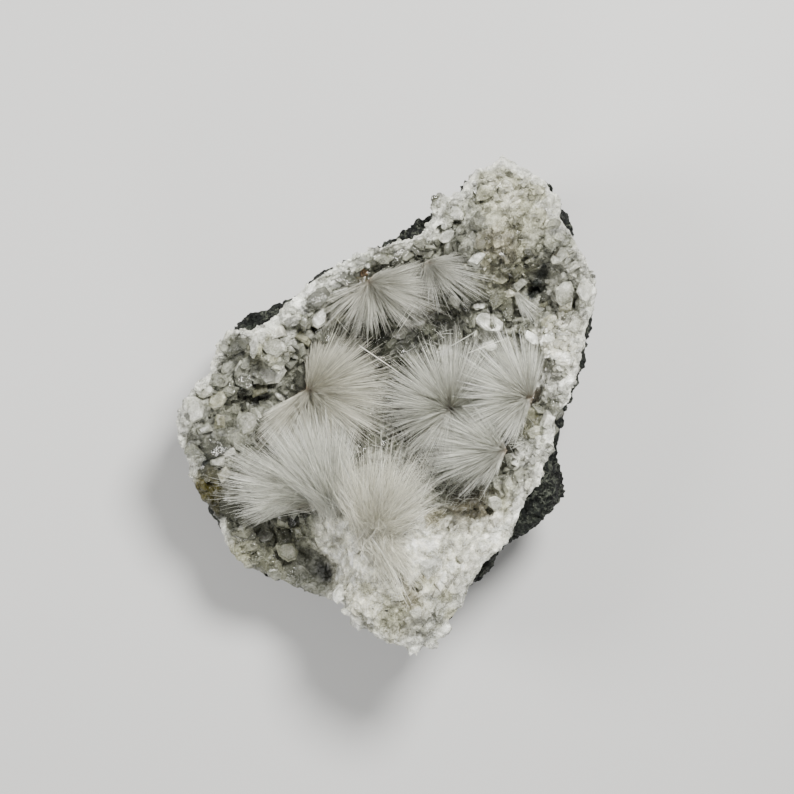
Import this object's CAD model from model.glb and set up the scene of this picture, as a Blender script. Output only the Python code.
import math

import bpy
import numpy as np
from mathutils import Matrix, Vector
from mathutils.bvhtree import BVHTree


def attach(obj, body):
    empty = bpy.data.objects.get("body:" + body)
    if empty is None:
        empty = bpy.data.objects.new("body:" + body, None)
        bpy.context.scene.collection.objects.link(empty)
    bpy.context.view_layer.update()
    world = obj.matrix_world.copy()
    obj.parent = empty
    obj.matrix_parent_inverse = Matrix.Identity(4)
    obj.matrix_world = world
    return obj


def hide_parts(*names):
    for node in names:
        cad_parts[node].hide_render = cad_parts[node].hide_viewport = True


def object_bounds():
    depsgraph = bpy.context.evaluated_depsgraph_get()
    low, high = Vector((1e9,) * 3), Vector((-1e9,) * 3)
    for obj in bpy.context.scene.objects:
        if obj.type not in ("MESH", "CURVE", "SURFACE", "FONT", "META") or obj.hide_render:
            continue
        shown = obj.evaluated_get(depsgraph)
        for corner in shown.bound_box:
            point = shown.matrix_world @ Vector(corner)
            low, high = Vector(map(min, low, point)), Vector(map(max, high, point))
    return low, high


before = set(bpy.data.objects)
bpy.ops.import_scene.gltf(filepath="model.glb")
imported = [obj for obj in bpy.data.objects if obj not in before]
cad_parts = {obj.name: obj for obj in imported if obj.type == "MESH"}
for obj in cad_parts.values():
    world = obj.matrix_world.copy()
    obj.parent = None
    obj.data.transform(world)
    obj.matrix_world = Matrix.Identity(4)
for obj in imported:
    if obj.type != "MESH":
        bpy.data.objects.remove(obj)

cadLow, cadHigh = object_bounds()
mm = 0.001
rayHeight = 80 * mm  # over everything, where rays start down to the crust
print("frame loaded, box", [round(v / mm, 1) for v in (*cadLow, *cadHigh)])


# working tools

def pick(obj):
    bpy.ops.object.select_all(action="DESELECT")
    obj.select_set(True)
    bpy.context.view_layer.objects.active = obj


def addObject(name, data, place=(0, 0, 0)):
    # place in mm
    obj = bpy.data.objects.new(name, data)
    obj.location = Vector(place) * mm
    bpy.context.scene.collection.objects.link(obj)
    return obj


def applyModifier(obj, kind, **values):
    pick(obj)
    bpy.ops.object.modifier_add(type=kind)
    made = obj.modifiers[-1]
    for key, value in values.items():
        setattr(made, key, value)
    bpy.ops.object.modifier_apply(modifier=made.name)


def copyOfNode(nodeName, pieceName):
    # a merged copy of a CAD node, free to be reshaped
    obj = addObject(pieceName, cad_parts[nodeName].data.copy())
    obj.data.materials.clear()
    pick(obj)
    bpy.ops.object.mode_set(mode="EDIT")
    bpy.ops.mesh.select_all(action="SELECT")
    bpy.ops.mesh.remove_doubles(threshold=0.001 * mm)
    bpy.ops.object.mode_set(mode="OBJECT")
    return obj


def roughen(obj, layers):
    # push the surface in and out by one noise after another
    for name, kind, width, depth, middle, values in layers:
        grain = bpy.data.textures.new(name, kind)
        grain.noise_scale = width * mm
        for key, value in values.items():
            setattr(grain, key, value)
        applyModifier(
            obj, "DISPLACE", texture=grain, strength=depth * mm, mid_level=middle, texture_coords="LOCAL",
        )


def valuesOf(items, name, each, kind):
    values = np.empty(len(items) * each, dtype=kind)
    items.foreach_get(name, values)
    return values


def cornersOf(obj):
    return valuesOf(obj.data.vertices, "co", 3, np.float32).reshape(-1, 3).astype(np.float64)


def setCorners(obj, points):
    obj.data.vertices.foreach_set("co", points.astype(np.float32).ravel())
    obj.data.update()


def paint(obj, colours):
    layer = obj.data.attributes.new("tint", "FLOAT_COLOR", "POINT")
    full = np.ones((len(colours), 4), dtype=np.float32)
    full[:, :3] = colours
    layer.data.foreach_set("color", full.ravel())


def treeOf(obj):
    obj.data.calc_loop_triangles()
    tris = valuesOf(obj.data.loop_triangles, "vertices", 3, np.int32).reshape(-1, 3)
    points = cornersOf(obj)
    return BVHTree.FromPolygons(points.tolist(), tris.tolist()), points, tris


def templateOf(obj):
    # the arrays of a shape that will be repeated
    loops = valuesOf(obj.data.loops, "vertex_index", 1, np.int32)
    totals = valuesOf(obj.data.polygons, "loop_total", 1, np.int32)
    arrays = (cornersOf(obj), loops, totals)
    bpy.data.objects.remove(obj)
    return arrays


def unit(rows):
    return rows / np.linalg.norm(rows, axis=1)[:, None]


def placeCopies(template, places):
    # places: one 3x4 matrix a copy
    return np.einsum("nij,pj->npi", places[:, :, :3], template[0]) + places[:, None, :, 3]


def joinCopies(pieceName, template, moved, tints):
    # one mesh of all the copies, with a colour for each corner
    points, loops, totals = template
    return pieceFromArrays(
        pieceName,
        moved.reshape(-1, 3),
        (loops[None, :] + (np.arange(len(moved)) * len(points))[:, None]).ravel(),
        np.tile(totals, len(moved)),
        tints.reshape(-1, 3),
    )


def pieceFromArrays(pieceName, points, loops, totals, tints):
    mesh = bpy.data.meshes.new(pieceName)
    mesh.vertices.add(len(points))
    mesh.vertices.foreach_set("co", points.astype(np.float32).ravel())
    mesh.loops.add(len(loops))
    mesh.loops.foreach_set("vertex_index", loops.astype(np.int32))
    mesh.polygons.add(len(totals))
    starts = np.concatenate([[0], np.cumsum(totals)[:-1]])
    mesh.polygons.foreach_set("loop_start", starts.astype(np.int32))
    mesh.update(calc_edges=True)
    obj = addObject(pieceName, mesh)
    paint(obj, tints)
    pick(obj)
    bpy.ops.object.shade_flat()
    return obj


# materials

class Shading:
    # a material, and short calls for the few kinds of node used in it

    def __init__(self, name):
        self.material = bpy.data.materials.new(name)
        self.material.use_nodes = True
        self.tree = self.material.node_tree
        self.shader = self.tree.nodes["Principled BSDF"]

    def fill(self, node, values):
        # values, by socket: what other nodes give, colours or numbers
        for name, value in values.items():
            if hasattr(value, "links"):
                self.tree.links.new(value, node.inputs[name])
            else:
                node.inputs[name].default_value = (*value, 1) if isinstance(value, tuple) else value
        return node.outputs

    def add(self, kind, values, **settings):
        made = self.tree.nodes.new("ShaderNode" + kind)
        for name, value in settings.items():
            setattr(made, name, value)
        return self.fill(made, values)

    def finish(self, values):
        self.fill(self.shader, values)

    def tint(self):
        return self.add("Attribute", {}, attribute_name="tint")["Color"]

    def noise(self, scale, detail, roughness=0.6, distortion=0.0):
        # scale: noises per metre
        return self.add("TexNoise", {
            "Vector": self.add("TexCoord", {})["Object"],
            "Scale": scale,
            "Detail": detail,
            "Roughness": roughness,
            "Distortion": distortion,
        })

    def cells(self, scale, feature="F1", bend=0.0):
        # scale: cells per metre; bend: how far noise bends them out of shape, in metres
        where = self.add("TexCoord", {})["Object"]
        if bend:
            bends = {0: self.noise(scale * 0.5, 3)["Color"], 1: Vector((bend, bend, bend)), 2: where}
            where = self.add("VectorMath", bends, operation="MULTIPLY_ADD")["Vector"]
        return self.add("TexVoronoi", {"Scale": scale, "Vector": where}, feature=feature)

    def edges(self, scale, bend):
        return self.cells(scale, "DISTANCE_TO_EDGE", bend)["Distance"]

    def ramp(self, source, *stops):
        # stops: a place from 0 to 1, then a colour or a shade of grey
        made = self.tree.nodes.new("ShaderNodeValToRGB")
        while len(made.color_ramp.elements) < len(stops):
            made.color_ramp.elements.new(0.5)
        for element, (place, value) in zip(made.color_ramp.elements, stops):
            element.position = place
            element.color = (*value, 1) if isinstance(value, tuple) else (value, value, value, 1)
        return self.fill(made, {"Fac": source})["Color"]

    def mix(self, kind, factor, one, other):
        return self.add("Mix", {0: factor, 6: one, 7: other}, data_type="RGBA", blend_type=kind)[2]

    def times(self, one, other):
        return self.mix("MULTIPLY", 1.0, one, other)

    def bump(self, height, strength, distance):
        values = {"Height": height, "Strength": strength, "Distance": distance}
        self.finish({"Normal": self.add("Bump", values)["Normal"]})


# light, floor and camera

stageLook = {
    "cameraAt": (2.2, 1.47, 474.0),  # mm, straight above the piece
    "lens": 100,
    "sensor": 36,
    "sees": (0.01, 10),  # metres
    "airColour": (1.0, 0.99, 0.975, 1),
    "air": 0.17,
    "floor": (0.60, 0.60, 0.59),
    "floorSize": 6,  # metres
    "floorDepth": 0.1 * mm,
    "floorRoughness": 0.7,
    "lightsAimAt": (0, 0, 20 * mm),
    "lights": [
        # name, place in mm, size in mm, watts, colour
        ("keySoftbox", (120, 190, 400), 130, 4.0, (1.0, 0.99, 0.965)),
        ("fillSoftbox", (-330, 20, 300), 200, 1.35, (1.0, 0.99, 0.975)),
        ("lowStrip", (40, -360, 190), 150, 0.6, (1.0, 1.0, 1.0)),
    ],
}


def makeCamera():
    data = bpy.data.cameras.new("camera")
    data.lens = stageLook["lens"]
    data.sensor_width = stageLook["sensor"]
    data.clip_start, data.clip_end = stageLook["sees"]
    bpy.context.scene.camera = addObject("camera", data, stageLook["cameraAt"])


def makeLights():
    air = bpy.data.worlds.new("studioAir")
    air.use_nodes = True
    background = air.node_tree.nodes["Background"]
    background.inputs["Color"].default_value = stageLook["airColour"]
    background.inputs["Strength"].default_value = stageLook["air"]
    bpy.context.scene.world = air
    for name, place, size, watts, colour in stageLook["lights"]:
        data = bpy.data.lights.new(name, "AREA")
        data.shape = "DISK"
        data.size = size * mm
        data.energy = watts
        data.color = colour
        lamp = addObject(name, data, place)
        aim = Vector(stageLook["lightsAimAt"]) - lamp.location
        lamp.rotation_euler = aim.to_track_quat("-Z", "Y").to_euler()


def makeFloor():
    bpy.ops.object.select_all(action="DESELECT")
    bpy.ops.mesh.primitive_plane_add(size=stageLook["floorSize"], location=(0, 0, -stageLook["floorDepth"]))
    floor = bpy.context.active_object
    floor.name = "floor"
    shade = Shading("paleFloor")
    shade.finish({"Base Color": stageLook["floor"], "Roughness": stageLook["floorRoughness"]})
    floor.data.materials.append(shade.material)


makeCamera()
makeLights()
makeFloor()
print("stage made")


# basalt

basaltLook = {
    "voxel": 0.5 * mm,
    "layers": [
        # name, kind, width and depth in mm, level that stays in place, settings
        ("basaltLumps", "CLOUDS", 3.0, 1.5, 0.6, {"noise_depth": 2}),
        ("basaltPores", "VORONOI", 1.4, 1.7, 0.65, {"distance_metric": "DISTANCE"}),
        ("basaltGrit", "CLOUDS", 0.8, 0.8, 0.5, {"noise_depth": 3}),
    ],
    "flatBelow": 0.3 * mm,  # the underside stays flat, and is as rough as the rest from "fade" above it
    "fade": 2.0 * mm,
    "smoothTo": math.radians(28),
    "dark": (0.0012, 0.0016, 0.0014),
    "green": (0.0045, 0.0062, 0.0050),
    "worn": (0.022, 0.026, 0.020),
    "pale": (0.15, 0.163, 0.128),
    "broad": 120,  # noises and cells per metre
    "patchy": 420,
    "walls": 700,
    "specks": 1100,
    "fine": 1300,
    "bend": 3.0 * mm,
    "roughness": 0.6,
    "specular": 0.3,
    "bump": (0.9, 0.9 * mm),
}


def basaltMaterial():
    shade = Shading("basaltStone")
    fine = shade.noise(basaltLook["fine"], 5, 0.75)["Fac"]
    body = shade.ramp(
        shade.noise(basaltLook["broad"], 6, 0.7)["Fac"],
        (0.36, basaltLook["dark"]), (0.52, basaltLook["green"]), (0.68, basaltLook["worn"]),
    )
    colour = shade.times(body, shade.ramp(fine, (0.36, 0.2), (0.52, 0.9), (0.66, 2.6)))
    # pale walls between the pores, and pale flecks, both broken up by patches
    wall = shade.ramp(shade.edges(basaltLook["walls"], basaltLook["bend"]), (0.02, 0.8), (0.16, 0.0))
    fleck = shade.ramp(shade.cells(basaltLook["specks"])["Distance"], (0.08, 1.0), (0.18, 0.0))
    broken = shade.ramp(shade.noise(basaltLook["patchy"], 5, 0.8)["Fac"], (0.46, 0.0), (0.62, 1.0))
    for amount in (wall, fleck):
        colour = shade.mix("MIX", shade.times(amount, broken), colour, basaltLook["pale"])
    shade.finish({
        "Base Color": colour,
        "Roughness": basaltLook["roughness"],
        "Specular IOR Level": basaltLook["specular"],
    })
    shade.bump(shade.mix("MIX", 0.5, wall, fine), *basaltLook["bump"])
    return shade.material


def makeBasalt():
    rock = copyOfNode("basalt_matrix", "basaltBody")
    applyModifier(rock, "REMESH", mode="VOXEL", voxel_size=basaltLook["voxel"])
    before = cornersOf(rock)
    roughen(rock, basaltLook["layers"])
    after = cornersOf(rock)
    share = np.clip((before[:, 2] - basaltLook["flatBelow"]) / basaltLook["fade"], 0, 1)
    after[:, 2] = before[:, 2] * (1 - share) + after[:, 2] * share
    after[:, 2] = np.maximum(after[:, 2], 0)
    setCorners(rock, after)
    pick(rock)
    bpy.ops.object.shade_smooth_by_angle(angle=basaltLook["smoothTo"])
    rock.data.materials.append(basaltMaterial())
    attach(rock, "root")
    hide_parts("basalt_matrix")
    return rock


basaltBody = makeBasalt()
basaltTree = treeOf(basaltBody)[0]
print("basalt made,", len(basaltBody.data.polygons), "faces")


# crust

crustLook = {
    "voxel": 0.48 * mm,
    "layers": [
        # name, kind, width and depth in mm, level that stays in place, settings
        ("crustLumps", "CLOUDS", 3.6, 1.2, 0.6, {"noise_depth": 1}),
        ("crustCells", "VORONOI", 1.5, -0.6, 0.5, {"distance_metric": "MANHATTAN"}),
        ("crustGrit", "VORONOI", 0.6, -0.3, 0.4, {"distance_metric": "CHEBYCHEV"}),
    ],
    "broadVoxel": 1.1 * mm,
    "broadSmoothing": 12,
}

# tones of the stone, in linear light
tones = {
    "base": (0.17, 0.172, 0.148),  # of the lining where nothing else is laid over it
    "rim": (0.60, 0.60, 0.575),
    "snow": (0.83, 0.84, 0.82),
    "white": (0.71, 0.71, 0.68),
    "cream": (0.82, 0.8, 0.71),
    "lip": (0.61, 0.6, 0.545),
    "oat": (0.56, 0.545, 0.46),
    "milk": (0.49, 0.49, 0.46),
    "pearl": (0.41, 0.412, 0.385),
    "paleBeige": (0.42, 0.41, 0.34),
    "beige": (0.315, 0.31, 0.242),
    "ash": (0.34, 0.34, 0.305),
    "stone": (0.25, 0.252, 0.222),
    "sand": (0.25, 0.246, 0.187),
    "clay": (0.2, 0.188, 0.142),
    "mist": (0.2, 0.203, 0.18),
    "smoke": (0.155, 0.157, 0.138),
    "moss": (0.145, 0.146, 0.115),
    "slate": (0.12, 0.122, 0.106),
    "shade": (0.086, 0.088, 0.074),
    "umber": (0.07, 0.064, 0.046),
    "olive": (0.050, 0.043, 0.009),
    "darkOlive": (0.026, 0.023, 0.007),
    "rust": (0.052, 0.034, 0.02),
    "soot": (0.024, 0.025, 0.022),
    "black": (0.012, 0.014, 0.012),
}

# places where the lining has another tone: x, y and radius in mm as seen from above, then the tone
patches = [
    # the beige dome and its foot
    (26.4, 39.9, 8.4, "beige"), (23.8, 28.5, 6.8, "sand"), (31.8, 20.9, 3.6, "stone"),
    (15.2, 37.9, 3.6, "stone"),
    # the cream ridge
    (-0.2, -37.1, 10.4, "oat"), (8.8, -31.1, 8.4, "cream"), (-7.6, -28.1, 7.6, "cream"),
    (2.8, -39.1, 4.4, "beige"), (7.8, -35.7, 2.4, "beige"), (11.8, -40.1, 3.6, "ash"),
    (1.8, -33.1, 3.2, "paleBeige"),
    # along the right rim and the top
    (20.8, -24.1, 6.8, "cream"), (22.8, -19.7, 3.0, "beige"), (26.8, -14.7, 3.2, "ash"),
    (29.8, -9.1, 4.4, "white"), (35.8, 10.9, 6.4, "cream"), (34.0, 5.2, 4.2, "white"),
    (34.8, 22.9, 4.4, "ash"), (23.8, 42.3, 3.0, "paleBeige"), (29.2, 45.7, 2.4, "white"),
    (32.8, 39.3, 1.8, "white"), (22.8, 31.9, 4.0, "clay"), (28.8, -4.1, 2.8, "sand"),
    # the brown hollow
    (16.8, -20.1, 5.2, "umber"), (9.8, -22.7, 2.8, "clay"),
    # the deep floor
    (1.8, 13.9, 9.2, "shade"), (10.8, 16.9, 7.2, "shade"), (10.8, -7.1, 8.0, "smoke"),
    # the left side, and the middle
    (-19.2, -29.1, 7.2, "moss"), (-17.2, -35.1, 4.4, "slate"), (-28.2, 4.9, 5.2, "smoke"),
    (-24.8, 10.9, 4.0, "sand"), (-23.2, 6.5, 3.2, "stone"), (-20.6, 15.5, 3.2, "white"),
    (-36.2, -7.1, 4.4, "slate"), (-39.2, -1.7, 2.4, "pearl"), (-35.8, 3.7, 3.2, "mist"),
    (1.8, -1.1, 4.0, "shade"),
]

# laid over the rim too
stains = [
    # olive grey hollows of the ridge
    (4.8, -38.3, 2.6, "clay"), (0.4, -42.7, 2.6, "sand"), (12.0, -37.5, 1.8, "sand"),
    (8.2, -34.1, 1.4, "clay"), (13.2, -41.5, 2.0, "beige"), (-4.2, -36.1, 1.6, "beige"),
    # white band along the upper left rim
    (-26.0, 13.7, 2.0, "white"), (-21.4, 15.7, 2.6, "snow"), (-17.8, 19.9, 2.4, "snow"),
    (-14.0, 22.9, 2.2, "snow"), (-10.4, 25.7, 2.2, "snow"), (-7.0, 27.9, 1.8, "snow"),
    (-4.0, 29.3, 1.8, "snow"), (3.4, 32.1, 1.6, "white"), (8.8, 34.3, 1.8, "white"),
    # the low rim is grey
    (-17.2, -36.7, 6.8, "shade"), (-24.8, -34.5, 5.2, "moss"), (-30.2, -30.3, 3.6, "sand"),
    # dark holes
    (31.8, 26.5, 1.6, "black"), (30.8, 23.9, 1.8, "black"), (29.6, 22.1, 1.2, "black"),
    (-26.8, 0.9, 1.4, "soot"), (-12.8, -34.3, 2.4, "soot"), (-29.2, 10.7, 1.0, "soot"),
    # smooth creamy lip
    (-35.0, 8.5, 1.2, "lip"), (-34.2, 11.3, 1.2, "lip"), (-32.8, 13.9, 1.2, "lip"),
    # more dark holes
    (-24.8, 2.1, 1.0, "soot"), (-34.4, -22.3, 2.0, "black"), (-37.0, -11.7, 1.8, "black"),
    # olive stain
    (-36.6, -17.1, 3.8, "olive"), (-34.6, -20.1, 2.6, "darkOlive"),
    # rusty speck
    (-4.8, 25.1, 1.4, "darkOlive"),
    # small brown spots
    (35.0, 29.7, 1.4, "clay"), (29.4, 1.7, 1.2, "rust"), (23.4, -9.5, 1.4, "umber"),
]

# the pale rim as seen from above, in mm
rim = np.array([
    (24.4, 50.3), (29.8, 46.7), (32.6, 44.7), (34.0, 43.1), (36.8, 36.9), (39.8, 30.5), (42.4, 22.5),
    (40.8, 15.9), (39.8, 9.9), (38.8, 3.9), (35.6, -2.1), (34.4, -10.1), (33.4, -12.3), (31.4, -13.1),
    (30.8, -17.1), (27.6, -18.9), (26.8, -22.1), (25.4, -27.3), (22.2, -30.3), (17.8, -35.1), (17.0, -38.1),
    (15.4, -40.5), (11.6, -44.1), (9.6, -46.5), (5.2, -48.9), (1.8, -48.3), (-3.2, -46.7), (-6.0, -44.3),
    (-8.2, -41.5), (-13.2, -39.7), (-20.2, -37.5), (-25.6, -35.1), (-29.2, -33.7), (-31.6, -31.1),
    (-33.8, -25.1), (-37.2, -20.3), (-39.6, -15.1), (-41.2, -8.3), (-42.4, -2.7), (-41.2, 0.9),
    (-38.0, 4.9), (-35.6, 6.9), (-34.4, 11.7), (-32.4, 14.9), (-28.2, 15.3), (-23.2, 16.5), (-20.0, 20.9),
    (-15.6, 24.7), (-12.0, 27.1), (-8.2, 29.1), (-4.0, 30.7), (1.8, 32.9), (5.2, 33.3), (8.2, 35.9),
    (11.8, 41.1), (15.4, 44.5), (16.8, 46.9), (20.8, 48.7),
]) * mm

# how the tones of the lining spread
liningLook = {
    "wander": (5 * mm, 0.9 * mm),  # width and depth of the bends in every border
    "stainWander": 0.3,  # how much of that the stains have
    "patchSlope": 1.5,
    "patchEnd": 1.2,  # where a patch ends, as a share of its radius
    "rimWidth": 1.8 * mm,
    "rimEnd": 1.3,
    "mottling": [(0.36, 3.4 * mm, 3), (0.3, 1.2 * mm, 4)],  # strength, width and seed
    "mottlingLimits": (0.35, 1.5),
    "limits": (0.004, 0.86),
    "waves": 14,
    "waveSpread": (0.6, 1.6),
}


def distanceToRim(flat):
    # how far points lie from the rim, seen from above
    nearest = np.full(len(flat), 1.0)
    for start, end in zip(rim, np.roll(rim, -1, axis=0)):
        side = end - start
        share = np.clip(((flat - start) @ side) / (side @ side), 0, 1)
        nearest = np.minimum(nearest, np.linalg.norm(flat - start - share[:, None] * side, axis=1))
    return nearest


def distanceTo(points, x, y):
    # from above, to a place in mm
    return np.linalg.norm(points[:, :2] - np.array([x, y]) * mm, axis=1)


def cloudAt(points, width, seed):
    # smooth random values around 0, as wide as asked
    rng = np.random.default_rng(seed)
    total = np.zeros(len(points))
    for _ in range(liningLook["waves"]):
        wave = rng.normal(0, 1, 3)
        wave *= 2 * math.pi / width / np.linalg.norm(wave) * rng.uniform(*liningLook["waveSpread"])
        total += np.sin(points @ wave + rng.uniform(0, 2 * math.pi))
    return total / math.sqrt(liningLook["waves"])


def layTones(tone, flat, rows):
    # lay one round patch after another over the tones so far
    for x, y, radius, name in rows:
        away = distanceTo(flat, x, y) / (radius * mm)
        share = np.clip(liningLook["patchSlope"] * (liningLook["patchEnd"] - away), 0, 1)[:, None]
        tone = tone * (1 - share) + np.array(tones[name]) * share
    return tone


def liningTone(points):
    # colour of the lining at points, in linear light
    width, depth = liningLook["wander"]
    wander = np.stack([cloudAt(points, width, seed) for seed in (1, 2)], axis=1) * depth
    flat = points[:, :2] + wander
    tone = layTones(np.tile(np.array(tones["base"]), (len(flat), 1)), flat, patches)
    edge = np.clip(liningLook["rimEnd"] - distanceToRim(flat) / liningLook["rimWidth"], 0, 1)[:, None]
    tone = tone * (1 - edge) + np.array(tones["rim"]) * edge
    mottled = np.exp(sum(much * cloudAt(points, wide, seed) for much, wide, seed in liningLook["mottling"]))
    tone *= np.clip(mottled, *liningLook["mottlingLimits"])[:, None]
    tone = layTones(tone, points[:, :2] + wander * liningLook["stainWander"], stains)
    return np.clip(tone, *liningLook["limits"])


druseLook = {
    "broad": 260,  # noises and cells per metre
    "cells": 850,
    "edges": 1100,
    "streaks": 2000,
    "fine": 3200,
    "bend": 1.6 * mm,
    "dim": (0.30, 0.307, 0.24),  # what the tint is multiplied by, from its clear parts to its white ones
    "mid": (0.80, 0.805, 0.72),
    "bright": (1.5, 1.5, 1.45),
    "pale": 2.4,  # how much paler than the tint the fine lines are
    "palest": (0.88, 0.88, 0.85),
    "ior": 1.5,
    "bump": 0.4 * mm,
}


def druseMaterial(name, clear, roughness, lift, relief=0.5):
    # clear: how much light goes through; lift: brightness of its cells; relief: strength of its bumps
    shade = Shading(name)
    tint = shade.tint()
    broad = shade.noise(druseLook["broad"], 9, 0.74, 0.6)["Fac"]
    fine = shade.noise(druseLook["fine"], 4, 0.7)["Fac"]
    cells = shade.cells(druseLook["cells"])
    colour = shade.times(tint, shade.ramp(
        broad, (0.34, druseLook["dim"]), (0.5, druseLook["mid"]), (0.68, druseLook["bright"]),
    ))
    colour = shade.times(colour, shade.ramp(cells["Color"], (0.15, 0.74 * lift), (0.85, 1.26 * lift)))
    colour = shade.times(colour, shade.ramp(fine, (0.35, 0.72), (0.65, 1.28)))
    pale = shade.mix("DARKEN", 1.0, shade.times(tint, (druseLook["pale"],) * 3), druseLook["palest"])
    for scale, wide in ((druseLook["edges"], 0.06), (druseLook["streaks"], 0.09)):
        lines = shade.ramp(shade.edges(scale, druseLook["bend"]), (0.0, 0.42), (wide, 0.0))
        colour = shade.mix("MIX", lines, colour, pale)
    shade.finish({
        "Base Color": colour,
        "Roughness": shade.ramp(broad, (0.4, roughness * 0.6), (0.65, roughness * 1.6)),
        "IOR": druseLook["ior"],
        "Transmission Weight": clear,
    })
    shade.bump(shade.mix("MIX", 0.4, cells["Distance"], fine), relief, druseLook["bump"])
    return shade.material


def makeCrust():
    crust = copyOfNode("crystal_crust", "crustBed")
    applyModifier(crust, "REMESH", mode="VOXEL", voxel_size=crustLook["voxel"])
    roughen(crust, crustLook["layers"])
    paint(crust, liningTone(cornersOf(crust)))
    crust.data.materials.append(druseMaterial("druse", 0.0, 0.3, 1.0, 0.9))
    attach(crust, "root")
    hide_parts("crystal_crust")
    return crust


def broadTree():
    # the crust's broad form without its grain, to stand crystals upright on
    broad = copyOfNode("crystal_crust", "broadForm")
    applyModifier(broad, "REMESH", mode="VOXEL", voxel_size=crustLook["broadVoxel"])
    applyModifier(broad, "SMOOTH", factor=1.0, iterations=crustLook["broadSmoothing"])
    tree = treeOf(broad)[0]
    bpy.data.objects.remove(broad)
    return tree


crustBed = makeCrust()
crustTree, crustPoints, crustTris = treeOf(crustBed)
crustForm = broadTree()
print("crust made,", len(crustBed.data.polygons), "faces")


def crustTop(x, y):
    # height of the crust at a place seen from above, or None beside it
    hit = crustTree.ray_cast(Vector((x, y, rayHeight)), Vector((0, 0, -1)))[0]
    return None if hit is None else hit.z


def overCrust(x, y, lift):
    # x and y in mm
    top = crustTop(x * mm, y * mm)
    return None if top is None else np.array([x * mm, y * mm, top + lift])


# shapes of single crystals, about one unit wide, with the foot at z 0

shapeLook = {
    "facesUp": 0.9,  # a face looks up when its normal's z is above this
    "wedgeTop": 0.4,
    "needleWaist": 0.55,
}


def newShape(add, height, **values):
    # a new shape with its middle at this height
    bpy.ops.object.select_all(action="DESELECT")
    add(location=(0, 0, height), **values)
    obj = bpy.context.active_object
    pick(obj)
    bpy.ops.object.transform_apply(location=True)
    return obj


def chooseEnd(obj, side=1):
    # edit mode with just the faces chosen that look up, or down for side -1
    bpy.ops.object.mode_set(mode="OBJECT")
    bpy.ops.object.mode_set(mode="EDIT")
    bpy.ops.mesh.select_mode(type="FACE")
    bpy.ops.mesh.select_all(action="DESELECT")
    bpy.ops.object.mode_set(mode="OBJECT")
    for face in obj.data.polygons:
        face.select = face.normal.z * side > shapeLook["facesUp"]
    bpy.ops.object.mode_set(mode="EDIT")


def drawOut(move, narrow, centre):
    # draw the chosen faces out and make them smaller about a centre
    bpy.ops.mesh.extrude_region_move(TRANSFORM_OT_translate={"value": move})
    bpy.ops.transform.resize(value=(*narrow, 1), center_override=centre)


def finishShape(obj):
    bpy.ops.object.mode_set(mode="EDIT")
    bpy.ops.mesh.select_all(action="SELECT")
    bpy.ops.mesh.normals_make_consistent(inside=False)
    bpy.ops.object.mode_set(mode="OBJECT")
    return templateOf(obj)


def plateTemplate(sides, chamfer, waist):
    # a flat plate with sloping edges
    obj = newShape(bpy.ops.mesh.primitive_cylinder_add, 0.5, vertices=sides, radius=0.5, depth=0.5)
    for side in (1, -1):
        chooseEnd(obj, side)
        drawOut((0, 0, 0.25 * side), (chamfer, chamfer), (0, 0, 0.5))
    bpy.ops.object.mode_set(mode="OBJECT")
    points = cornersOf(obj)
    points[:, 1] *= 1 + waist * (1 - np.abs(points[:, 0]) * 4)  # wider in the middle, as a coffin lid
    setCorners(obj, points)
    return finishShape(obj)


def blockTemplate(bevel, taper, slant):
    # a cut block with a slanting top
    obj = newShape(bpy.ops.mesh.primitive_cube_add, 0.5, size=1)
    chooseEnd(obj)
    bpy.ops.transform.resize(value=(taper, taper * 0.9, 1), center_override=(0, 0, 1))
    bpy.ops.transform.rotate(value=slant, orient_axis="X", center_override=(0, 0, 1))
    bpy.ops.mesh.bevel(offset=bevel, segments=1, affect="EDGES")
    return finishShape(obj)


def wedgeTemplate(narrow, skew):
    # a chisel-ended crystal
    foot = 1 - shapeLook["wedgeTop"]
    obj = newShape(bpy.ops.mesh.primitive_cylinder_add, foot / 2, vertices=6, radius=0.5, depth=foot)
    chooseEnd(obj)
    drawOut((skew, 0, shapeLook["wedgeTop"]), (narrow, 0.75), (skew, 0, 1))
    bpy.ops.transform.rotate(value=0.2, orient_axis="X", center_override=(skew, 0, 1))
    return finishShape(obj)


def shardTemplate(seed, rounds=1):
    # a small broken grain
    obj = newShape(bpy.ops.mesh.primitive_ico_sphere_add, 0, subdivisions=rounds, radius=0.55)
    corners = cornersOf(obj)
    corners *= np.random.default_rng(seed).uniform(0.72, 1.2, (len(corners), 1))
    corners[:, 2] += 0.4
    setCorners(obj, corners)
    return finishShape(obj)


def needleTemplate():
    # a thin three-sided needle with its point at z 1
    waist = shapeLook["needleWaist"]
    obj = newShape(
        bpy.ops.mesh.primitive_cone_add, waist / 2, vertices=3, radius1=0.75, radius2=1, depth=waist,
    )
    chooseEnd(obj)
    drawOut((0, 0, 1 - waist), (0.25, 0.25), (0, 0, 1))
    return finishShape(obj)


# small crystals on the crust

crystalLook = {
    "seed": 11,
    "tries": 90000,
    "leastArea": 1e-20,  # square metres, so that no division fails
    "mostTriangles": 190000,
    "uneven": 0.075,  # how far corners are off, as a share of the crystal
    "stretch": (0.75, 1.3),
    "growsFrom": (3.2 * mm, 0.5),  # nearer the rim than this they are smaller, down to this share
    "offBasalt": 1.5 * mm,
    "facesDown": -0.5,
    "downFrom": 3 * mm,  # farther from the rim than this, sides that face down carry nothing
    "ridge": (6.8, -35.1, 26),  # round zones: x, y and radius in mm
    "dome": (25.8, 36.9, 15),
    "plainFrom": 0.07,  # brightness of the lining
    "paleFrom": 0.3,
    "dimTo": 0.35,
    "creamFrom": 0.2,
    "inside": 1.6 * mm,
    "landmarkReach": 0.55,
    "belt": (0.5, 0.3),  # height and half width of the pale belt round each crystal
    "beltTones": (1.45, 0.92),
    "brightest": 0.9,
}

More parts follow.
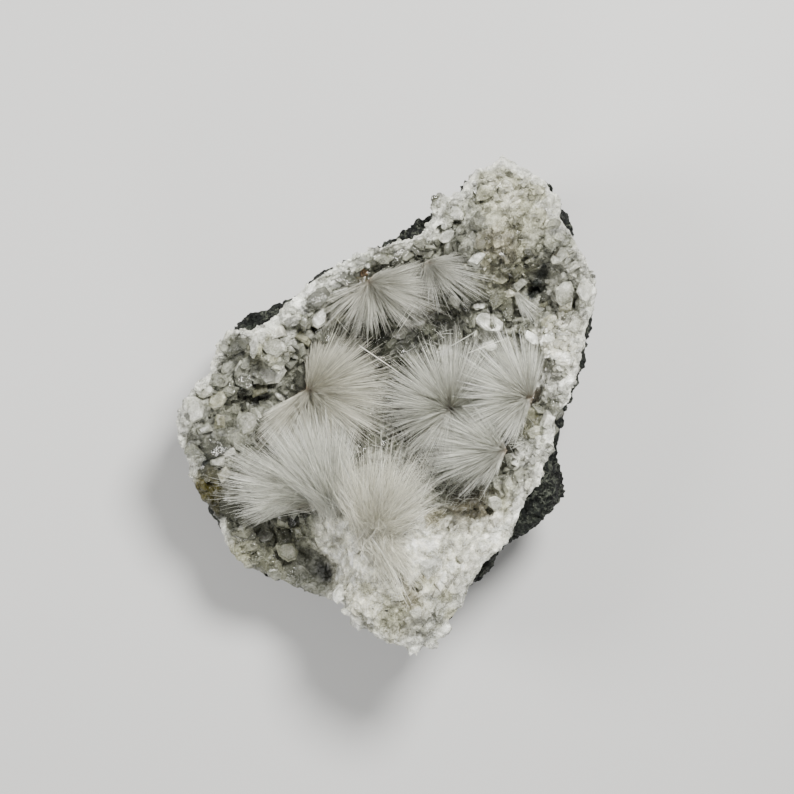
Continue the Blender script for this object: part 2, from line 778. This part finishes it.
crystalKinds = [
    # name, template, zone, from and to which share of the spots there, deepest under a spray (2: anywhere),
    # least and most size in mm and how rare big ones are, proportions, tilt, how far sunk, spread of tone,
    # and its druse: name, clear, roughness, lift
    ("rimGrains", (shardTemplate, 1), "pale", (0, 0.12), 2,
     (0.3, 1.1, 2.2), (1.0, 0.75, 0.8), 0.6, 0.6, (0.7, 1.15), ("whiteDruse", 0.2, 0.25, 1.1)),
    ("fineDruse", (shardTemplate, 2), "dim", (0, 0.07), 2,
     (0.3, 0.9, 2.0), (1.0, 0.8, 0.9), 0.6, 0.5, (0.4, 2.0), ("greyDruse", 0.3, 0.15, 1.2)),
    ("ridgeGrains", (shardTemplate, 3), "beige", (0, 0.05), 2,
     (0.25, 0.8, 2.2), (1.0, 0.8, 0.6), 0.6, 0.6, (0.7, 1.2), ("creamGrain", 0.0, 0.35, 1.0)),
    ("darkSpecks", (shardTemplate, 4), "beige", (0.5, 0.504), 2,
     (0.2, 0.6, 2.2), (1.0, 0.8, 0.8), 0.6, 0.3, (0.03, 0.12), ("darkSpeck", 0.0, 0.3, 1.0)),
    ("greyBlocks", (blockTemplate, 0.08, 0.7, 0.45), "dimInside", (0.985, 1), 0.55,
     (1.6, 5.0, 1.4), (1.0, 0.7, 0.75), 0.5, 0.6, (0.5, 1.7), ("greyCrystal", 0.55, 0.05, 1.35)),
    ("greyWedges", (wedgeTemplate, 0.3, 0.12), "dimInside", (0.968, 0.985), 0.55,
     (1.6, 5.0, 1.4), (1.0, 0.6, 0.9), 0.55, 0.55, (0.5, 1.8), ("greyWedge", 0.55, 0.05, 1.4)),
    ("greyPlates", (plateTemplate, 6, 0.8, 0.15), "dimInside", (0.91, 0.96), 0.5,
     (1.2, 4.6, 1.4), (1.0, 0.6, 0.24), 0.75, 0.55, (0.45, 1.9), ("clearPlate", 0.6, 0.04, 1.4)),
    ("rimBlocks", (blockTemplate, 0.1, 0.7, 0.5), "pale", (0.98, 1), 2,
     (0.8, 3.0, 1.8), (1.0, 0.7, 0.7), 0.5, 0.7, (0.5, 1.2), ("whiteBlock", 0.4, 0.12, 1.2)),
    ("rimWedges", (wedgeTemplate, 0.4, -0.1), "pale", (0.955, 0.98), 2,
     (0.8, 2.8, 1.8), (1.0, 0.65, 0.8), 0.6, 0.65, (0.5, 1.25), ("whiteWedge", 0.4, 0.1, 1.2)),
    ("rimPlates", (plateTemplate, 6, 0.8, 0.1), "pale", (0.88, 0.93), 2,
     (0.7, 2.8, 1.7), (1.0, 0.6, 0.26), 0.9, 0.6, (0.5, 1.25), ("whitePlate", 0.4, 0.1, 1.2)),
    ("ridgeBlocks", (blockTemplate, 0.12, 0.7, 0.4), "ridgeInside", (0.99, 1), 2,
     (1.2, 4.4, 1.6), (1.0, 0.8, 0.45), 0.4, 0.85, (0.75, 1.15), ("creamBlock", 0.15, 0.25, 1.0)),
    ("domeWedges", (wedgeTemplate, 0.45, 0.1), "domeInside", (0.982, 1), 2,
     (1.0, 3.6, 1.6), (1.0, 0.7, 0.7), 0.6, 0.7, (0.6, 1.2), ("beigeWedge", 0.35, 0.12, 1.1)),
    ("domePlates", (plateTemplate, 6, 0.8, 0.1), "domeInside", (0.87, 0.9), 2,
     (0.8, 3.0, 1.6), (1.0, 0.55, 0.22), 1.0, 0.6, (0.7, 1.3), ("beigePlate", 0.35, 0.12, 1.15)),
]


def litEdges(template, tints):
    # a colour for each corner: a crystal is paler where it is widest, at its edges
    middle, half = crystalLook["belt"]
    belt = np.abs(template[0][:, 2] - middle) < half
    lift = np.where(belt, *crystalLook["beltTones"])
    return np.clip(tints[:, None, :] * lift[None, :, None], 0, crystalLook["brightest"])


def crystalPlaces(rng, spots, facings, sizes, tilt, sunk):
    # one 3x4 matrix a crystal; sizes are length, width and height; its foot is sunk into the crust
    up = unit(facings + rng.normal(0, 1, facings.shape) * tilt)
    side = unit(np.cross(up, rng.normal(0, 1, facings.shape)))
    axes = np.stack([side, np.cross(up, side), up], axis=2) * sizes[:, None, :]
    foot = spots - up * sizes[:, 2:3] * sunk
    return np.concatenate([axes, foot[:, :, None]], axis=2)


def scatterOnCrust(rng, tries):
    # even random spots over the crust's outer side
    a, b, c = (crustPoints[crustTris[:, i]] for i in range(3))
    facing = np.cross(b - a, c - a)
    area = np.linalg.norm(facing, axis=1)
    facing /= np.maximum(area, crystalLook["leastArea"])[:, None]
    chosen = rng.choice(len(area), tries, p=area / area.sum())
    u, v = rng.random(tries), rng.random(tries)
    flip = u + v > 1
    u[flip], v[flip] = 1 - u[flip], 1 - v[flip]
    spots = a[chosen] + u[:, None] * (b - a)[chosen] + v[:, None] * (c - a)[chosen]
    clear = np.array([basaltTree.find_nearest(Vector(spot))[3] > crystalLook["offBasalt"] for spot in spots])
    down = facing[chosen][:, 2] < crystalLook["facesDown"]
    clear &= ~(down & (distanceToRim(spots[:, :2]) > crystalLook["downFrom"]))
    return spots[clear]


def underSprays(spots):
    # how deep under a spray a spot lies: 1 at its root, 0 at its tips and beyond
    deep = np.zeros(len(spots))
    for spray in sprays.values():
        away = spots - np.array(spray["root"]) * mm
        bearing = np.arctan2(away[:, 1], away[:, 0])
        reach = np.maximum(reachAt(spray, bearing), 1 * mm)
        deep = np.maximum(deep, 1 - np.linalg.norm(away[:, :2], axis=1) / reach)
    return np.clip(deep, 0, 1)


def within(spots, x, y, radius):
    return distanceTo(spots, x, y) < radius * mm


def zonesOf(spots, bright, edge, deep):
    # which spots belong to which part of the lining
    ridge = within(spots, *crystalLook["ridge"])
    dome = within(spots, *crystalLook["dome"])
    inside = edge > crystalLook["inside"]
    plain = (deep < 1) & (bright > crystalLook["plainFrom"]) & ~ridge & ~dome
    dim = plain & (bright <= crystalLook["dimTo"])
    return {
        "pale": (bright > crystalLook["paleFrom"]) & ~ridge & ~dome,
        "dim": dim,
        "dimInside": dim & inside,
        "beige": ridge | dome,
        "ridgeInside": ridge & inside & (bright > crystalLook["creamFrom"]),
        "domeInside": dome & inside,
    }


def makeCrystals():
    rng = np.random.default_rng(crystalLook["seed"])
    spots = scatterOnCrust(rng, crystalLook["tries"])
    facings = np.array([crustForm.find_nearest(Vector(spot))[1][:] for spot in spots])
    tone = liningTone(spots)
    edge = distanceToRim(spots[:, :2])
    deep = underSprays(spots)
    for x, y, length, *_ in sum(landmarks.values(), []):
        deep[within(spots, x, y, length * crystalLook["landmarkReach"])] = 1
    dice = rng.random(len(spots))
    zones = zonesOf(spots, tone.mean(axis=1), edge, deep)
    print("places for crystals:", len(spots))
    grown, smallest = crystalLook["growsFrom"]
    for name, shape, zone, share, deepest, size, form, tilt, sunk, spread, druse in crystalKinds:
        template = shape[0](*shape[1:])
        each = int(np.sum(template[2] - 2))
        chosen = zones[zone] & (dice >= share[0]) & (dice < share[1]) & (deep < deepest)
        where = np.flatnonzero(chosen)[: crystalLook["mostTriangles"] // each]
        least, most, rare = size
        scale = (least + (most - least) * rng.random(len(where)) ** rare) * mm
        scale *= np.clip(edge[where] / grown, smallest, 1)
        sizes = scale[:, None] * np.array(form) * rng.uniform(*crystalLook["stretch"], (len(where), 3))
        places = crystalPlaces(rng, spots[where], facings[where], sizes, tilt, sunk)
        tints = tone[where] * rng.uniform(*spread, (len(where), 1))
        moved = placeCopies(template, places)
        moved += rng.normal(0, crystalLook["uneven"], moved.shape) * sizes.min(axis=1)[:, None, None]
        obj = joinCopies(name, template, moved, litEdges(template, tints))
        obj.data.materials.append(druseMaterial(*druse))
        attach(obj, "root")
        print(name, len(where), "crystals of", each, "triangles")


# crystals that stand out: place from above, length and width in mm, bearing and lean in degrees, tone
landmarks = {
    "plate": [
        (-13.8, 17.3, 4.6, 3.0, 75, 15, "pearl"), (-23.6, 6.5, 6.6, 5.6, 10, 12, "milk"),
        (-22.2, 11.3, 5.4, 4.0, -10, 20, "ash"), (-26.2, 11.9, 5.6, 1.8, 80, 20, "milk"),
        (-30.0, 7.3, 4.4, 1.6, 70, 35, "stone"), (-32.0, 7.7, 4.4, 1.8, 60, 30, "stone"),
        (-28.4, 8.7, 3.6, 1.4, 60, 30, "mist"), (-24.8, -0.1, 4.0, 2.4, -40, 25, "stone"),
        (-22.0, 1.7, 3.8, 1.6, -50, 20, "ash"), (-38.6, -1.3, 5.6, 4.6, 80, 12, "milk"),
        (-36.4, 2.5, 4.0, 2.4, 30, 20, "ash"), (-34.0, 0.5, 4.4, 3.2, 60, 20, "beige"),
        (-29.2, -4.1, 5.6, 4.2, 60, 20, "ash"), (-27.2, -1.9, 3.6, 2.4, -20, 20, "ash"),
        (-30.8, -7.7, 4.4, 3.2, -60, 20, "stone"), (25.2, 22.7, 4.0, 2.2, 10, 15, "paleBeige"),
        (22.8, 25.5, 4.0, 2.6, -10, 25, "sand"), (29.8, 13.3, 4.4, 2.0, -40, 24, "snow"),
        (32.4, 12.9, 4.0, 2.2, 40, 24, "snow"), (31.0, 10.1, 4.2, 2.2, 15, 20, "snow"),
        (35.8, 22.5, 5.4, 3.6, 70, 15, "ash"), (39.8, 22.9, 5.2, 2.8, 95, 20, "milk"),
        (33.2, 16.5, 4.4, 3.2, 10, 15, "beige"), (34.8, 29.7, 4.4, 2.8, 50, 20, "stone"),
        (20.0, 42.5, 4.4, 3.0, 30, 15, "beige"), (14.0, 38.3, 4.4, 2.6, -40, 20, "pearl"),
        (12.2, 34.1, 4.0, 2.6, 40, 20, "milk"), (-9.6, -37.7, 4.0, 2.4, 75, 18, "white"),
        (12.2, 10.5, 5.2, 3.4, 30, 12, "stone"), (2.4, 14.7, 4.0, 2.8, 15, 15, "stone"),
        (18.8, 20.3, 3.6, 2.4, 20, 20, "stone"), (28.8, -15.7, 3.2, 2.0, 60, 15, "lip"),
        (22.2, -20.1, 3.6, 2.6, -50, 15, "ash"), (-25.2, -27.1, 4.0, 2.8, 20, 20, "mist"),
        (-20.6, -30.3, 4.8, 3.4, -30, 15, "moss"), (-27.2, -23.1, 4.4, 2.4, 40, 20, "mist"),
        (-17.6, -34.5, 4.0, 2.6, -20, 20, "slate"), (-15.6, -37.5, 3.6, 1.8, -20, 20, "smoke"),
        (-23.2, -34.7, 3.6, 2.0, -25, 20, "mist"),
    ],
    "block": [
        (-26.0, 3.7, 4.4, 3.0, 20, 25, "sand"), (-14.0, -20.1, 2.8, 2.2, 20, 10, "lip"),
        (-21.6, 14.5, 3.0, 2.2, 20, 20, "lip"), (-11.2, 19.7, 4.4, 2.6, 55, 20, "stone"),
        (-9.4, 17.9, 3.2, 2.0, 40, 20, "beige"), (-16.8, 13.3, 4.0, 2.8, -30, 20, "sand"),
        (-19.2, 8.9, 3.6, 2.6, 50, 20, "mist"), (-34.4, -3.9, 3.6, 2.8, 90, 20, "sand"),
        (-37.2, -5.1, 4.0, 2.4, 20, 20, "mist"), (-33.4, -14.5, 3.2, 3.0, 40, 10, "oat"),
        (-34.6, -11.5, 3.6, 2.4, 0, 20, "pearl"), (-31.8, -10.3, 3.0, 2.0, 20, 20, "milk"),
        (18.4, 29.1, 3.8, 2.6, 50, 15, "snow"), (16.6, 28.1, 2.2, 1.6, 20, 15, "oat"),
        (27.0, 25.1, 3.2, 2.4, 40, 20, "stone"), (36.8, 19.9, 4.0, 3.2, 80, 18, "paleBeige"),
        (37.6, 15.7, 4.0, 2.8, 60, 15, "ash"), (32.8, 20.3, 3.2, 2.0, 60, 25, "sand"),
        (37.8, 27.7, 3.4, 2.4, 30, 20, "ash"), (-5.8, -20.1, 3.2, 1.8, 40, 15, "milk"),
        (6.6, 17.3, 4.4, 3.2, -20, 15, "mist"), (10.0, 20.3, 4.0, 2.4, 30, 15, "clay"),
        (14.8, 20.9, 4.0, 2.8, -30, 15, "mist"), (32.4, -3.1, 3.6, 2.4, 70, 15, "milk"),
    ],
    "grain": [
        (-5.4, 24.9, 3.0, 2.4, 20, 15, "umber"), (-6.6, 23.7, 1.8, 1.4, 60, 15, "umber"),
        (-4.4, 26.3, 1.6, 1.4, 60, 15, "rust"),
    ],
    "oval": [
        (21.0, 16.7, 5.8, 3.4, -24, 6, "snow"), (21.4, 11.9, 3.8, 2.2, 10, 12, "white"),
    ],
}

landmarkLook = {
    "seed": 5,
    "kinds": {
        # its template, and its height as a share of its width
        "plate": ((plateTemplate, 7, 0.8, 0.12), 0.6),
        "block": ((blockTemplate, 0.14, 0.72, 0.3), 1.0),
        "oval": ((plateTemplate, 14, 0.86, 0.0), 0.6),
        "grain": ((shardTemplate, 6, 2), 1.0),
    },
    "sunk": 0.5,  # as a share of its height
    "grainLift": 0.5 * mm,
    "uneven": 0.12 * mm,
    "druse": ("standingCrystal", 0.3, 0.1, 1.3),
}


def makeLandmarks():
    rng = np.random.default_rng(landmarkLook["seed"])
    material = druseMaterial(*landmarkLook["druse"])
    for kind, (shape, thickness) in landmarkLook["kinds"].items():
        template = shape[0](*shape[1:])
        places, tints = [], []
        for x, y, length, width, bearing, lean, tone in landmarks[kind]:
            foot = overCrust(x, y, 0)
            if foot is None:
                print("no crust under the crystal at", x, y)
                continue
            tall = width * mm * thickness
            turn = Matrix.Rotation(math.radians(bearing), 3, "Z")
            for axis in "YX":
                turn = turn @ Matrix.Rotation(math.radians(lean * rng.uniform(-1, 1)), 3, axis)
            foot[2] += landmarkLook["grainLift"] if kind == "grain" else -landmarkLook["sunk"] * tall
            axes = np.array(turn) * np.array([length * mm, width * mm, tall])
            places.append(np.hstack([axes, foot[:, None]]))
            tints.append(tones[tone])
        moved = placeCopies(template, np.array(places))
        moved += rng.normal(0, landmarkLook["uneven"], moved.shape)
        lit = litEdges(template, np.array(tints))
        obj = joinCopies("landmark" + kind.capitalize(), template, moved, lit)
        obj.data.materials.append(material)
        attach(obj, "root")


# sprays of needles

# what a spray has unless its own row below says otherwise
sprayLook = {
    "seed": 23,
    "radius": 0.037 * mm,
    "radiusSpread": (0.5, 1.6),
    "fine": 1.0,  # times the radius
    "more": 1.65,  # needles for each one counted below
    "bundle": 6,  # needles that lean together
    "fewestBundles": 12,
    "triesEach": 12,
    "usualReach": 14 * mm,
    "dense": [(0, 1.0)],  # how dense by bearing
    "bundleSpread": 0.058,
    "bundleTone": (0.68, 1.1),
    "bundleLength": (0.8, 1.08),
    "lowest": 3,  # degrees above the horizon
    "steepest": 76,
    "lowBias": 1.5,
    "riseLimits": (2, 85),  # degrees too
    "fullness": (3.0, 1.25),  # most needles are nearly full length, some are short
    "longest": 1.12,
    "shortest": 1.5 * mm,
    "rounds": 10,  # how often needles are tested; those that touch the crust are lifted by so much
    "lift": 0.09,
    "liftedTo": 1.4,
    "testedAt": (0.45, 0.75, 1.0),
    "clearance": 0.15 * mm,
    "topShare": 0.75,  # how high a spray is for its reach
    "leastReach": 1e-6,
    "rootWide": 0.25 * mm,
    "rootFlat": (1, 1, 0.5),
    "rootGap": 0.3 * mm,
    "tipSpread": 0.15 * mm,
    "overTop": 0.2 * mm,
    "bend": 0.12 * mm,
    "whiteTone": (0.88, 0.89, 0.795),
    "creamTone": (0.90, 0.875, 0.73),
    "rootBrown": (0.41, 0.33, 0.24),
    "brownTo": 2.2,  # the brown fades out over 1 / this of the needle
    "needleTone": (0.5, 1.2),
    "shade": 1.0,
    "brightest": 0.95,
    "roughness": 0.3,
    "ior": 1.5,
}

# each spray: its root in mm, how many needles, lengths in mm by bearing, its tone, how brown its root is
sprays = {
    "needlesUpperLeft": dict(
        node="mesolite_spray_upper_left", root=(-3.4, 24.67, 28.4), count=2000, cream=0.4, brown=0.9,
        shade=0.78, bundle=5, fine=0.78,
        reach=[(-172, 6), (-155, 11), (-135, 13), (-100, 12), (-60, 12), (-30, 16), (0, 14), (20, 12),
               (38, 5), (60, 0), (180, 0)],
        dense=[(-170, 0.25), (-120, 0.25), (-95, 0.6), (-60, 0.2), (-25, 0.7), (0, 1), (30, 1)],
    ),
    "needlesUpper": dict(
        node="mesolite_spray_upper", root=(8.4, 28.47, 30.1), count=620, cream=0.2, brown=0.6,
        shade=0.68, bundle=4, fine=0.72,
        reach=[(-135, 0), (-110, 7), (-60, 11), (-30, 14), (0, 12), (20, 6), (35, 0), (180, 0)],
    ),
    "needlesLeft": dict(
        node="mesolite_spray_left", root=(-15.6, 2.87, 23.9), count=3600, cream=0.8, brown=1.0,
        shade=0.9,
        reach=[(-152, 12), (-130, 16), (-100, 15), (-60, 16), (-20, 18), (20, 17), (45, 16), (80, 13),
               (98, 7), (110, 0), (200, 0)],
    ),
    "needlesCentre": dict(
        node="mesolite_spray_centre", root=(13.2, -0.93, 19.7), count=3300, cream=0.12, brown=0.9,
        shade=0.88,
        reach=[(-180, 16), (-130, 15), (-90, 12), (-45, 13), (0, 15), (50, 17), (90, 15), (135, 15)],
        dense=[(-180, 0.9), (-140, 0.35), (-110, 0.5), (-60, 0.9), (0, 0.9), (60, 0.7), (120, 0.9)],
    ),
    "needlesRight": dict(
        node="mesolite_spray_right", root=(28.8, 1.27, 29.2), count=1400, cream=0.1, brown=1.0,
        reach=[(-178, 14), (-140, 14), (-110, 11), (-85, 0), (50, 0), (75, 12), (120, 17), (150, 16)],
    ),
    "needlesLowerRight": dict(
        node="mesolite_spray_lower_right", root=(23.8, -9.33, 28.0), count=1150, cream=0.05, brown=0.9,
        shade=0.88,
        reach=[(-170, 17), (-140, 14), (-115, 10), (-95, 0), (90, 0), (120, 12), (160, 15)],
        dense=[(-180, 1), (-150, 0.7), (-110, 0.4), (120, 0.6), (150, 0.8)],
    ),
    "needlesLowerLeft": dict(
        node="mesolite_spray_lower_left", root=(-15.4, -18.2, 28.5), count=1800, cream=0.12, brown=0.25,
        shade=0.9, rootWide=1.1 * mm,
        reach=[(-178, 18), (-165, 16), (-150, 13), (-142, 0), (128, 0), (138, 16), (160, 18)],
    ),
    "needlesLowMiddle": dict(
        node="mesolite_spray_low_middle", root=(-11.0, -20.6, 31.8), count=2300, cream=0.12, brown=0.1,
        shade=0.97, rootWide=1.0 * mm,
        reach=[(50, 0), (65, 13), (85, 18), (110, 21), (130, 20), (148, 17), (160, 0), (180, 0)],
    ),
    "needlesBottom": dict(
        node="mesolite_spray_bottom", root=(-2.6, -25.33, 38.8), count=3600, cream=0.85, brown=0.0,
        rootWide=1.7 * mm,
        reach=[(-120, 4), (-90, 9), (-70, 14), (-50, 16), (-25, 8), (0, 8), (25, 14), (60, 19), (95, 19),
               (125, 16), (145, 7), (180, 3)],
        dense=[(-90, 0.4), (-50, 0.5), (0, 0.9), (60, 1), (120, 1), (150, 0.8)],
    ),
    "needlesFarRight": dict(
        node="mesolite_spray_far_right", root=(26.4, 22.47, 25.9), count=150, cream=0.0, brown=0.2,
        shade=0.9, bundle=4, fine=0.75,
        reach=[(-90, 0), (-75, 7), (-50, 8), (-35, 6), (-20, 0), (180, 0)],
    ),
}

# single needles that cross the hollow: from x, y to x, y, and both heights over the crust, in mm
loneNeedles = [
    (-5.6, 12.1, 3.2, 6.1, 5.0, 4.0), (-5.2, 11.7, 2.4, 6.7, 4.0, 4.0), (-1.4, 21.1, 5.0, 17.1, 3.0, 2.0),
    (1.4, 14.7, 5.2, 20.9, 1.0, 5.0), (2.4, 14.9, 6.0, 20.3, 1.0, 4.0), (-1.2, 16.5, -3.0, 20.9, 1.0, 4.0),
    (-10.0, 17.3, -7.4, 14.3, 2.0, 2.0), (-9.2, 16.5, -6.0, 19.7, 1.0, 4.0),
    (10.2, 20.9, 11.0, 17.3, 2.0, 1.0), (13.2, 11.9, 18.4, 14.9, 5.0, 4.0),
    (16.8, 10.5, 25.2, 13.7, 5.0, 3.0), (12.2, -19.1, 16.8, -14.7, 1.0, 4.0),
    (6.8, -20.1, 10.0, -13.1, 1.0, 4.0), (19.8, -11.7, 10.2, -13.9, 5.0, 4.0),
    (21.6, -11.3, 13.2, -15.1, 4.0, 3.0), (-17.2, -3.1, -20.4, -9.5, 5.0, 3.0),
    (-16.0, -3.9, -17.2, -11.1, 5.0, 4.0), (16.8, -9.5, 10.8, -19.1, 3.0, 1.0),
]

# mats of fine hairs: x, y and radius in mm, how many, mean bearing in degrees, length in mm
hairMats = [
    (15.2, -15.1, 5.2, 380, 200, 4.0), (10.8, -14.1, 4.8, 300, 150, 4.0), (3.8, -10.1, 4.4, 220, 120, 4.0),
    (20.8, -7.1, 4.0, 200, 170, 4.0), (-0.4, -4.1, 3.2, 120, 60, 3.0), (5.2, -17.5, 3.2, 110, 80, 3.5),
    (2.8, 17.9, 5.2, 70, 100, 4.0), (11.8, 13.9, 5.2, 60, 90, 4.0), (-8.2, 14.9, 3.2, 110, 80, 3.5),
    (-24.8, -8.7, 3.6, 110, 240, 3.0), (26.8, -6.1, 2.8, 110, 160, 3.0),
]


def atBearing(table, bearings):
    at, values = zip(*sorted(table))
    return np.interp(np.degrees(bearings), at, values, period=360)


def reachAt(spray, bearings):
    return atBearing(spray["reach"], bearings) * mm


def domeLength(reach, rises, tallest):
    # length of a needle that just reaches a low dome over its root
    height = np.minimum(reach * sprayLook["topShare"], tallest)
    flat = np.cos(rises) / np.maximum(reach, sprayLook["leastReach"])
    tall = np.sin(rises) / np.maximum(height, sprayLook["leastReach"])
    return 1 / np.sqrt(flat ** 2 + tall ** 2)


def unitRows(bearings, rises):
    flat = np.cos(rises)
    return np.stack([np.cos(bearings) * flat, np.sin(bearings) * flat, np.sin(rises)], axis=1)


def needlesClear(root, along, lengths):
    # which needles run clear over the crust, tested at a few places
    clear = np.ones(len(along), dtype=bool)
    for share in sprayLook["testedAt"]:
        points = root + along * (lengths * share)[:, None]
        for index, point in enumerate(points):
            top = crustTop(point[0], point[1]) if clear[index] else None
            if top is not None and point[2] < top + sprayLook["clearance"]:
                clear[index] = False
    return clear


def aimBundles(look, rng):
    # which bearings and rises the bundles have; most lie low, fewer point up
    wanted = int(look["count"] * look["more"])
    bundles = max(look["fewestBundles"], wanted // look["bundle"])
    bearings = rng.uniform(-math.pi, math.pi, bundles * look["triesEach"])
    weight = reachAt(look, bearings) / look["usualReach"] * atBearing(look["dense"], bearings)
    bearings = bearings[rng.random(len(bearings)) < weight][:bundles]
    high = rng.random(len(bearings)) ** look["lowBias"]
    rises = np.radians(look["lowest"] + (look["steepest"] - look["lowest"]) * high)
    return bearings, rises, wanted


def makeSpray(name, spray, template, rng):
    look = {**sprayLook, **spray}
    root = np.array(look["root"]) * mm
    bearings, rises, wanted = aimBundles(look, rng)
    bundleTone = rng.uniform(*look["bundleTone"], len(bearings))
    bundleLength = rng.uniform(*look["bundleLength"], len(bearings))
    member = rng.integers(0, len(bearings), wanted)
    bearing = bearings[member] + rng.normal(0, look["bundleSpread"], wanted)
    rise = rises[member] + rng.normal(0, look["bundleSpread"], wanted)
    rise = np.clip(rise, *np.radians(look["riseLimits"]))
    full = rng.beta(*look["fullness"], wanted) * look["longest"] * bundleLength[member]
    tallest = cadHigh[2] - root[2]
    for _ in range(look["rounds"]):
        along = unitRows(bearing, rise)
        lengths = domeLength(reachAt(look, bearing), rise, tallest) * full
        clear = needlesClear(root, along, lengths)
        rise = np.where(clear, rise, np.minimum(rise + look["lift"], look["liftedTo"]))
    keep = clear & (lengths > look["shortest"])
    along, lengths, member = along[keep], lengths[keep], member[keep]
    count = len(along)
    foot = rng.normal(0, look["rootWide"], (count, 3)) * np.array(look["rootFlat"])
    start = root + along * look["rootGap"] + foot
    end = root + along * lengths[:, None] + rng.normal(0, look["tipSpread"], (count, 3))
    end[:, 2] = np.minimum(end[:, 2], cadHigh[2] + look["overTop"])
    radius = look["radius"] * look["fine"] * rng.uniform(*look["radiusSpread"], count)
    tone = np.array(look["whiteTone"]) * (1 - look["cream"]) + np.array(look["creamTone"]) * look["cream"]
    tone *= look["shade"]
    body = tone[None, :] * (bundleTone[member] * rng.uniform(*look["needleTone"], count))[:, None]
    low = body * (1 - look["brown"]) + np.array(look["rootBrown"]) * look["brown"]
    share = np.clip(template[0][:, 2] * look["brownTo"], 0, 1)[None, :, None]
    tints = low[:, None, :] * (1 - share) + body[:, None, :] * share
    print(name, count, "needles")
    return joinNeedles(name, template, start, end, radius, tints, rng)


def joinNeedles(pieceName, template, start, end, radius, tints, rng):
    axis = end - start
    side = unit(np.cross(axis, rng.normal(0, 1, axis.shape)))
    across = unit(np.cross(axis, side))
    wide = radius[:, None]
    moved = placeCopies(template, np.stack([side * wide, across * wide, axis, start], axis=2))
    waist = np.abs(template[0][:, 2] - shapeLook["needleWaist"]) < 0.01
    moved[:, waist] += (side * rng.normal(0, sprayLook["bend"], (len(axis), 1)))[:, None, :]
    return joinCopies(pieceName, template, moved, np.clip(tints, 0, sprayLook["brightest"]))


def needleMaterial():
    shade = Shading("mesoliteNeedle")
    shade.finish({"Base Color": shade.tint(), "Roughness": sprayLook["roughness"], "IOR": sprayLook["ior"]})
    return shade.material


strayLook = {
    "seed": 31,
    "needleRadius": (0.07, 0.1),  # mm
    "hairRadius": (0.02, 0.045),
    "hairRoot": -0.1 * mm,
    "hairSpread": 0.5,
    "hairTurn": 55,  # degrees to either side of the mat's bearing
    "hairRise": (5, 60),
    "hairLength": (0.5, 1.3),
    "hairTone": (0.5, 1.1),
}


def makeStrays(template):
    rng = np.random.default_rng(strayLook["seed"])
    start, end, radius, tone = [], [], [], []
    for x, y, toX, toY, lift, toLift in loneNeedles:
        start.append(overCrust(x, y, lift * mm))
        end.append(overCrust(toX, toY, toLift * mm))
        radius.append(rng.uniform(*strayLook["needleRadius"]) * mm)
        tone.append(1.0)
    for middleX, middleY, wide, count, bearing, length in hairMats:
        for _ in range(count):
            x, y = np.array([middleX, middleY]) + rng.normal(0, wide * strayLook["hairSpread"], 2)
            foot = overCrust(x, y, strayLook["hairRoot"])
            if foot is None:
                continue
            turn = math.radians(bearing + rng.normal(0, strayLook["hairTurn"]))
            rise = math.radians(rng.uniform(*strayLook["hairRise"]))
            along = unitRows(np.array([turn]), np.array([rise]))[0]
            start.append(foot)
            end.append(foot + along * length * mm * rng.uniform(*strayLook["hairLength"]))
            radius.append(rng.uniform(*strayLook["hairRadius"]) * mm)
            tone.append(rng.uniform(*strayLook["hairTone"]))
    tints = np.array(tone)[:, None] * np.array(sprayLook["whiteTone"])
    tints = np.repeat(tints[:, None, :], len(template[0]), axis=1)
    start, end, radius = (np.array(rows) for rows in (start, end, radius))
    return joinNeedles("strayNeedles", template, start, end, radius, tints, rng)


def makeSprays():
    rng = np.random.default_rng(sprayLook["seed"])
    template = needleTemplate()
    material = needleMaterial()
    for name, spray in sprays.items():
        piece = makeSpray(name, spray, template, rng)
        piece.data.materials.append(material)
        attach(piece, "root")
        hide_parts(spray["node"])
    strays = makeStrays(template)
    strays.data.materials.append(material)
    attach(strays, "root")


makeCrystals()
makeLandmarks()
print("crystals made")
makeSprays()
print("sprays made")
